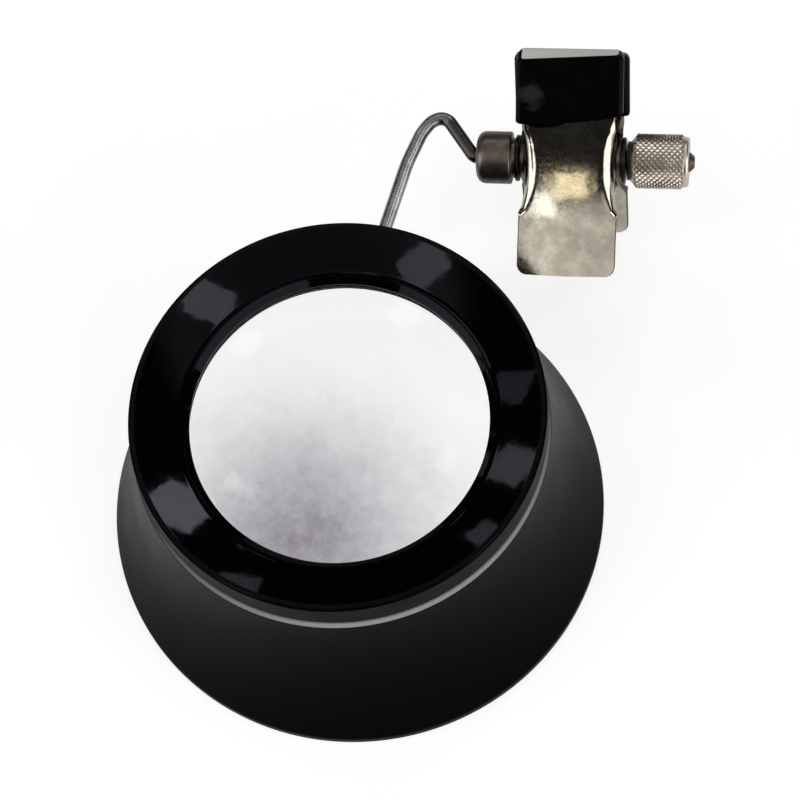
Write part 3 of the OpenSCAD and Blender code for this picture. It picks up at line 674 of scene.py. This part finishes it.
def sheet_lever(half, ear_x, tip_y, side):
    """A lever's mesh: both faces of the folded sheet, with broken edges. side is -1 for the rear one.
    The rows lie closest where the ears leave the sheet and at the handle's rounded corners."""
    stations = [tip_y - k * (tip_y - 3) / 12 for k in range(13)]
    stations += [3 - 0.07 * k for k in range(1, 36)]
    stations += [0.55 - 0.1 * k for k in range(1, 47)]
    stations += [-4.1 - 0.3 * k for k in range(1, 11)]
    stations += [-7.4 - 0.8 * sin(pi / 2 * k / 10) for k in range(11)]
    surface = [[Vector((p.x, p.y, side * p.z)) for p in lever_section(y, half, ear_x)] for y in stations]
    last_row, last_column = len(stations) - 1, len(surface[0]) - 1
    bm = bmesh.new()
    faces = {1: [], -1: []}
    bevel = 0.09
    for i, row in enumerate(surface):
        for outward in (1, -1):
            verts = []
            for k, spot in enumerate(row):
                along = surface[min(i + 1, last_row)][k] - surface[max(i - 1, 0)][k]
                across = row[min(k + 1, last_column)] - row[max(k - 1, 0)]
                inset = Vector((0, 0, 0))
                if k in (0, last_column):
                    inset -= across.normalized() * bevel * (1 if k else -1)
                if i in (0, last_row):
                    inset -= along.normalized() * bevel * (1 if i else -1)
                shift = along.cross(across).normalized() * outward * sheet_t / 2
                verts.append(bm.verts.new(clip_place @ ((spot + inset + shift) * MM)))
            faces[outward].append(verts)
    for outward in (1, -1):
        grid = faces[outward]
        for i in range(last_row):
            for k in range(last_column):
                bm.faces.new((grid[i][k], grid[i][k + 1], grid[i + 1][k + 1], grid[i + 1][k]))
    border = [(0, k) for k in range(last_column)] + [(i, last_column) for i in range(last_row)]
    border += [(last_row, k) for k in range(last_column, 0, -1)] + [(i, 0) for i in range(last_row, 0, -1)]
    rims = []
    for i, k in border:
        top, low = faces[1][i][k].co, faces[-1][i][k].co
        spot = clip_place @ (surface[i][k] * MM)
        lean = (top - low) * (0.5 - bevel / sheet_t)
        rims.append((bm.verts.new(spot + lean), bm.verts.new(spot - lean)))
    for n in range(len(border)):
        m = (n + 1) % len(border)
        (i, k), (j, l) = border[n], border[m]
        for corners in ((faces[1][i][k], faces[1][j][l], rims[m][0], rims[n][0]),
                        (rims[n][0], rims[m][0], rims[m][1], rims[n][1]),
                        (rims[n][1], rims[m][1], faces[-1][j][l], faces[-1][i][k])):
            bm.faces.new(corners).material_index = 1
    return bm


# Sheared edge: painted shade; a darker metal colour draws a dark line round the sheet for the dark it
# reflects
sheared_edge = wavy_metal("shaded_sheared_edge", "#7A746B", "#4A4541", 0.3, 0.45, 0.9, 0.05)
front_lever = make_piece("front_sheet_lever", sheet_lever(4.0, 3.6, jaw_len, 1), bright_nickel, sharp=32)
front_lever.data.materials.append(sheared_edge)
cut_away(front_lever, rod(bore_r, -6, 6, shaft_place))
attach(front_lever, "clip")
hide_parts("front_lever")

# ---- Front jaw sleeve ----
# A soft black vinyl sleeve pushed over the jaw, closed at the tip, cut a little unevenly at its foot.
# Soft vinyl: deep black and satin, with faint mould flow; the end face is coloured pale grey, and a
# faint pale patch on the front is a painted reflection of a window
soft_vinyl, tree = new_material("soft_black_vinyl")
flow = mottle(tree, 1.1, 5, 0.6)
sheen = mottle(tree, 1.1, 5, 0.6, seen=(0.35, 0.7), to=(0.26, 0.38))
dimple = add_node(tree, "Bump", {"Height": flow, "Strength": 0.4, "Distance": 0.03 * MM})
end_face = add_node(tree, "Attribute", attribute_name="end_face")
# The end face is coloured pale grey
chalk = add_node(tree, "MapRange", {"Value": end_face.outputs["Fac"], "From Min": 0.4, "From Max": 0.9})
place = add_node(tree, "TexCoord")
# Painted reflection: a faint pale patch on the front face, with a ragged edge
from_patch_centre = add_node(tree, "VectorMath", {
    0: place.outputs["Object"], 1: clip_place @ (Vector((-3.1, 6.14, 1.88)) * MM)}, operation="DISTANCE")
ragged = add_node(tree, "Math", {0: flow, 1: 3 * MM, 2: from_patch_centre}, operation="MULTIPLY_ADD")
painted_reflection = add_node(tree, "MapRange", {
    "Value": ragged, "From Min": 1.9 * MM, "From Max": 2.7 * MM, "To Min": 0.03, "To Max": 0})
pale_end_and_reflection = add_node(tree, "Math", {0: chalk, 1: painted_reflection}, operation="ADD")
vinyl_colour = add_node(tree, "Mix", {0: pale_end_and_reflection, 6: linear("#020203"), 7: linear("#E4E0DA")},
                        data_type="RGBA")
vinyl = add_node(tree, "BsdfPrincipled", {
    "Base Color": vinyl_colour, "Roughness": sheen, "IOR": 1.5, "Specular IOR Level": 0.06,
    "Normal": dimple})
add_node(tree, "OutputMaterial", {"Surface": vinyl})
vinyl_t = 0.45


def rounded_box(out_x, out_z, corner, share):
    """A point at a share of the girth of a rounded rectangle, from its upper left corner."""
    flat_x, flat_z = out_x - corner, out_z - corner
    legs = [2 * flat_x, pi / 2 * corner, 2 * flat_z, pi / 2 * corner] * 2
    starts = [(-flat_x, out_z), (out_x, flat_z), (flat_x, -out_z), (-out_x, -flat_z)]
    centres = [(flat_x, flat_z), (flat_x, -flat_z), (-flat_x, -flat_z), (-flat_x, flat_z)]
    heads = [(1, 0), (0, -1), (-1, 0), (0, 1)]
    walk = share * sum(legs)
    leg = 0
    while leg < 7 and walk > legs[leg]:
        walk -= legs[leg]
        leg += 1
    side = leg // 2
    if leg % 2 == 0:
        return Vector(starts[side]) + walk * Vector(heads[side])
    turn = pi / 2 * (1 - side) - walk / corner
    return Vector(centres[side]) + corner * Vector((cos(turn), sin(turn)))


def vinyl_sleeve(name, half, tip_y, foot, slant, side):
    """A closed-ended sleeve round a jaw. foot gives its cut edge as (x, y) points, and slant how far
    the end face leans back at its left and right."""
    out_x, out_z, in_x, in_z = half + vinyl_t, sheet_t / 2 + vinyl_t, half + 0.01, sheet_t / 2 + 0.01
    top, tip_r, edge_r, sides = tip_y + vinyl_t, 0.6, 0.38, 120
    bm = bmesh.new()
    rings, end_values = [], []

    def foot_y(x):
        """The cut edge's place at x."""
        for (x0, y0), (x1, y1) in zip(foot, foot[1:]):
            if x <= x1:
                return y0 + (y1 - y0) * smooth((x - x0) / (x1 - x0))
        return foot[-1][1]

    def add_ring(spots, end=0.0):
        """A ring of points (x, y, out from the sheet's middle)."""
        verts = []
        for x, y, out in spots:
            height = tip_z + (jaw_len - y) * jaw_rise + out / cos(atan(jaw_rise))
            verts.append(bm.verts.new(clip_place @ (Vector((x, y, side * height)) * MM)))
            end_values.append(end)
        rings.append(verts)

    shares = [k / sides for k in range(sides)]
    inner = [rounded_box(in_x, in_z, 0.03, a) for a in shares]
    outer = [rounded_box(out_x, out_z, edge_r, a) for a in shares]
    for level in (1.2, 0.6, 0.12):
        add_ring([(p.x, foot_y(p.x) + level, p.y) for p in inner])
    for lip in (0.15, 0.5, 0.85):
        lift = 0.10 * (2 * lip - 1) ** 2
        between = [(p.lerp(q, lip), q) for p, q in zip(inner, outer)]
        add_ring([(r.x, foot_y(q.x) + lift, r.y) for r, q in between])
    start = [foot_y(p.x) for p in outer]

    def lean(p, t):
        """How far the slanting end pulls a point back."""
        across = (p.x + out_x) / (2 * out_x)
        return (slant[0] + (slant[1] - slant[0]) * across) * smooth((p.y + out_z) / (2 * out_z)) * t * t

    tip_base = top - tip_r
    for t in (0.03, 0.08, 0.16, 0.28, 0.42, 0.58, 0.74, 0.88, 1.0):
        add_ring([(p.x, s + (tip_base - s) * t - lean(p, t), p.y) for p, s in zip(outer, start)])
    for k in range(1, 12):
        a = pi / 2 * k / 12
        tucked = 0.08 * max(0, k - 9) / 2
        narrow = out_x - tip_r * (1 - cos(a)) * 0.9
        shrunk = [rounded_box(narrow, out_z - tucked, edge_r - tucked, share) for share in shares]
        add_ring([(p.x, tip_base + tip_r * sin(a) * 0.995 - lean(p, 1), p.y) for p in shrunk],
                 1.0 if k > 10 else 0.0)
    for shrink in (0.75, 0.4):
        last = [rounded_box((out_x - tip_r) * shrink, (out_z - 0.1) * shrink, (edge_r - 0.1) * shrink, a)
                for a in shares]
        add_ring([(p.x, top - lean(p, 1), p.y) for p in last], 1.0)
    for low, high in zip(rings, rings[1:]):
        for k in range(sides):
            n = (k + 1) % sides
            bm.faces.new((low[k], low[n], high[n], high[k]))
    bm.faces.new(rings[-1])
    bm.faces.new(rings[0])
    sleeve = make_piece(name, bm, soft_vinyl, sharp=60)
    sleeve.data.attributes.new("end_face", "FLOAT", "POINT").data.foreach_set("value", end_values)
    return sleeve


front_foot = [(-4.25, 3.70), (-3.8, 3.66), (-2.36, 3.41), (-1.1, 3.49),
              (0.19, 3.87), (2.5, 4.07), (3.4, 4.18), (4.25, 4.52)]
front_sleeve = vinyl_sleeve("front_vinyl_sleeve", 3.88, jaw_len, front_foot, (0.55, 0.05), 1)
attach(front_sleeve, "clip")
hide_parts("front_jaw_sleeve")

# ---- Spring bush ----
# A length of bare steel tube on the stud, parted off square. It keeps the ears apart, and the
# spring's coils sit loosely round it.
bush_half, bush_r = 3.1, 1.05
bush_profile = rounded([(bore_r, -bush_half), (bush_r, -bush_half, 0.05), (bush_r, bush_half, 0.05),
                        (bore_r, bush_half)])
bush = make_piece("steel_spacer_tube", turned(bush_profile, shaft_place, 72), bare_steel)
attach(bush, "clip")
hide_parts("spring_bush")

# ---- Torsion spring ----
# Four turns of 0.5 mm spring wire, wound cold round a mandrel. Its legs press on the inner faces of
# both handles and so shut the jaws.
# Spring steel: oil-tempered, so it is a darker grey than the drawn wire
oiled_steel = wavy_metal("oil_tempered_spring_steel", "#8B8987", "#6A6866", 0.18, 0.3, 1.5, 0.06)
spring_r, spring_wire_r, spring_pitch, coils = 1.4, 0.25, 0.95, 4
leg_slope, leg_len, coil_steps = radians(17), 4.9, 240
leg_turn = pi / 2 - leg_slope
sweep = 2 * pi * coils + 2 * leg_turn
coil_run = spring_pitch * sweep / (2 * pi)
coil = []
for k in range(coil_steps + 1):
    a = leg_turn - sweep * k / coil_steps
    coil.append(Vector((coil_run * (0.5 - k / coil_steps), spring_r * cos(a), spring_r * sin(a))))
legs = [Vector((0, -cos(leg_slope), up * sin(leg_slope))) for up in (1, -1)]
spring_line = [coil[0] + legs[0] * leg_len * (1 - k / 12) for k in range(12)] + coil
spring_line += [coil[-1] + legs[1] * leg_len * k / 12 for k in range(1, 13)]
spring = make_piece("wound_torsion_spring",
                    swept(spring_line, lambda point, out: spring_wire_r, clip_place, 16), oiled_steel)
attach(spring, "clip")
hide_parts("torsion_spring")

# ---- Rear lever ----
# The same stamping as the front lever, from the same sheet, but wider, so that its ears lie outside
# the front one's. It turns on the stud.
rear_jaw_len = 8.4
rear_lever = make_piece("rear_sheet_lever", sheet_lever(4.4, 4.15, rear_jaw_len, -1), bright_nickel,
                        sharp=32)
rear_lever.data.materials.append(sheared_edge)
cut_away(rear_lever, rod(bore_r, -6, 6, shaft_place))
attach(rear_lever, "jaw")
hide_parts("rear_lever")

# ---- Rear jaw sleeve ----
# The rear jaw's sleeve, pushed on like the front one, is of the same vinyl and a size wider. Its
# foot is cut nearly square.
rear_foot = [(-4.65, 3.1), (-2.0, 3.2), (0.5, 3.5), (3.0, 3.45), (4.65, 3.4)]
rear_sleeve = vinyl_sleeve("rear_vinyl_sleeve", 4.2, rear_jaw_len, rear_foot, (0.05, 0.05), -1)
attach(rear_sleeve, "jaw")
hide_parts("rear_jaw_sleeve")

# ---- Knurled nut ----
# A turned thumb nut: a plain conical nose, a body with a diamond knurl rolled into it, and a
# polished collar at the outer end.
# Nickel over brass: warm grey; the knurl's crests are coloured lighter in patches
nut_metal, tree = new_material("knurled_nickel")
crest_patches = mottle(tree, 1.1, 4, 0.6)
crests = add_node(tree, "Attribute", attribute_name="crest")
share = add_node(tree, "Math", {0: crests.outputs["Fac"], 1: crest_patches}, operation="MULTIPLY")
bright = add_node(tree, "MapRange", {"Value": share, "From Min": 0.08, "From Max": 0.4})
nut_colour = add_node(tree, "Mix", {0: bright, 6: linear("#A0958A"), 7: linear("#EAE1D5")},
                      data_type="RGBA")
shine = mottle(tree, 0.11, 3, seen=(0.3, 0.7), to=(0.26, 0.40))
nut_shader = add_node(tree, "BsdfPrincipled", {"Base Color": nut_colour, "Metallic": 1, "Roughness": shine})
add_node(tree, "OutputMaterial", {"Surface": nut_shader})

nut_x, nose_len, knurl_len, nut_end, nut_r, groove = 4.86, 0.4, 3.9, 9.61, 2.25, 0.15
diamonds, per_diamond, diamond_len = 28, 10, 0.46
knurl_start, knurl_end = nut_x + nose_len, nut_x + nose_len + knurl_len


def knurl_depth(x, k):
    """How deep the knurl is cut at x along the shaft and at step k round it."""
    u, v = k / per_diamond, x / diamond_len
    to_groove = min(abs(t - round(t)) for t in (u + v, u - v))
    return groove * (1 - min(1, to_groove / 0.42))


bm = bmesh.new()
# The rows' radii and places along the shaft: nose, knurl with a chamfer at both ends, collar and bore
knurl_chamfer, bore_chamfer = 0.14, 0.1
rows = [(bore_r + bore_chamfer, nut_x), (1.57, nut_x), (1.65, nut_x + 0.06), (2.03, knurl_start),
        (2.08, knurl_start + 0.03)]
count = int(knurl_len / diamond_len * per_diamond)
for k in range(1, count):
    x = knurl_start + knurl_len * k / count
    fade = min(1, (x - knurl_start) / knurl_chamfer, (knurl_end - x) / knurl_chamfer)
    rows.append((nut_r - knurl_chamfer * (1 - fade), x))
rows += [(2.09, knurl_end), (1.99, knurl_end + 0.04), (2.05, knurl_end + 0.10), (2.05, nut_end - 0.16),
         (1.98, nut_end - 0.05), (1.86, nut_end), (bore_r + bore_chamfer, nut_end),
         (bore_r, nut_end - bore_chamfer), (bore_r, nut_x + bore_chamfer)]
steps = diamonds * per_diamond
crest_values, rings = [], []
for r, x in rows:
    verts = []
    for k in range(steps):
        depth = knurl_depth(x - knurl_start, k) if knurl_start + 0.01 < x < knurl_end - 0.01 else 0
        a = 2 * pi * k / steps
        spot = Vector(((r - depth) * cos(a), (r - depth) * sin(a), x)) * MM
        verts.append(bm.verts.new(shaft_place @ spot))
        crest_values.append(1 - depth / groove)
    rings.append(verts)
for low, high in zip(rings, rings[1:] + rings[:1]):
    for k in range(steps):
        n = (k + 1) % steps
        bm.faces.new((low[k], low[n], high[n], high[k]))
nut = make_piece("knurled_thumb_nut", bm, nut_metal, sharp=30)
crest = nut.data.attributes.new("crest", "FLOAT", "POINT")
crest.data.foreach_set("value", crest_values)
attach(nut, "nut")
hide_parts("knurled_nut")

# ---- Floor, light and world ----
# A plain pale table top, white to the camera but for the object's soft shadow, lamps at a plain
# level, and a room that is white behind the object.
floor_mesh = bpy.data.meshes.new("table_top")
floor_mesh.from_pydata([(-3, -3, 0), (3, -3, 0), (3, 3, 0), (-3, 3, 0)], [], [(0, 1, 2, 3)])
floor = bpy.data.objects.new("table_top", floor_mesh)
bpy.context.scene.collection.objects.link(floor)
# White laminate: plain to the eye, and it shows white in the lens and in the metal too
table_white, tree = new_material("white_laminate")
paper = add_node(tree, "BsdfDiffuse", {"Color": (0.42, 0.42, 0.42, 1)})
path = add_node(tree, "LightPath")
seen = add_node(tree, "Math", {0: path.outputs["Is Camera Ray"], 1: 0.76}, operation="MULTIPLY")
mirrored = add_node(tree, "Math", {0: path.outputs["Is Glossy Ray"], 1: 0.36, 2: seen},
                    operation="MULTIPLY_ADD")
through = add_node(tree, "Math", {0: path.outputs["Is Transmission Ray"], 1: 0.46, 2: mirrored},
                   operation="MULTIPLY_ADD")
glow = add_node(tree, "Emission", {"Color": (1, 1, 1, 1), "Strength": through})
surface = add_node(tree, "AddShader", {0: paper, 1: glow})
add_node(tree, "OutputMaterial", {"Surface": surface})
floor_mesh.materials.append(table_white)


def softbox(name, azimuth, elevation, width, height, level, colour=(1, 1, 1), distance=0.6):
    """A rectangular lamp that faces the object, by its direction and the angles it fills."""
    az, el = radians(azimuth), radians(elevation)
    away = Vector((cos(el) * cos(az), cos(el) * sin(az), sin(el)))
    data = bpy.data.lights.new(name, "AREA")
    data.shape = "RECTANGLE"
    data.size = 2 * distance * tan(radians(width / 2))
    data.size_y = 2 * distance * tan(radians(height / 2))
    data.energy = level * pi * data.size * data.size_y
    data.color = colour
    lamp = bpy.data.objects.new(name, data)
    facing = away.to_track_quat("Z", "Y").to_matrix().to_4x4()
    lamp.matrix_world = Matrix.Translation(away * distance + Vector((0, 0, 15 * MM))) @ facing
    bpy.context.scene.collection.objects.link(lamp)


# The windows and back lamps are the patches in the polished ring, the keys and the high window light
# the clip's sheet metal, and the two wide ones give the sheen on the flanks
softbox("window_right", -4, 67, 7.5, 9, 5.4)
softbox("window_left", -147, 64, 8, 9, 4.6)
softbox("window_back", 68, 39.5, 9.5, 9, 9)
softbox("lamp_back_1", 161, 45, 6, 7, 1.5)
softbox("lamp_back_2", 143, 35, 7, 8, 4.2)
softbox("lamp_back_3", 129, 27.5, 4, 4, 2.4)
softbox("lamp_back_4", 87, 28, 6, 3, 2.2)
softbox("window_high", 102, 43, 30, 12, 1.6)
softbox("key_cream", -98.7, 52, 7.3, 8.5, 1.5, (1, 0.92, 0.66))
softbox("key_white", -111.3, 56.6, 5.6, 8, 1.9)
softbox("wide_right", -32, 20, 72, 44, 1.9)
softbox("wide_left", -150, 22, 56, 44, 1.9)

world = bpy.data.worlds.new("pale_room")
bpy.context.scene.world = world
world.use_nodes = True
tree = world.node_tree
tree.nodes.clear()
# The room: dark up to the height of the lamps and paler above them, but white behind the object
place = add_node(tree, "TexCoord")
split = add_node(tree, "SeparateXYZ", {"Vector": place.outputs["Generated"]})
ramp = add_node(tree, "ValToRGB", {"Fac": split.outputs["Z"]})
stops = ramp.color_ramp.elements
stops[0].position, stops[0].color = 0.815, (0.01, 0.01, 0.011, 1)
stops[1].position, stops[1].color = 0.875, (0.80, 0.79, 0.765, 1)
stops.new(0.92).color = (0.47, 0.465, 0.45, 1)
stops.new(1.0).color = (0.36, 0.355, 0.345, 1)
sky = add_node(tree, "Background", {"Color": ramp, "Strength": 1})
white = add_node(tree, "Background", {"Color": (1, 1, 1, 1), "Strength": 1})
path = add_node(tree, "LightPath")
seen = add_node(tree, "Math", {
    0: path.outputs["Is Camera Ray"], 1: path.outputs["Is Transmission Ray"]}, operation="MAXIMUM")
sky_mix = add_node(tree, "MixShader", {"Fac": seen, 1: sky, 2: white})
add_node(tree, "OutputWorld", {"Surface": sky_mix})
bpy.context.scene.view_settings.view_transform = "Standard"
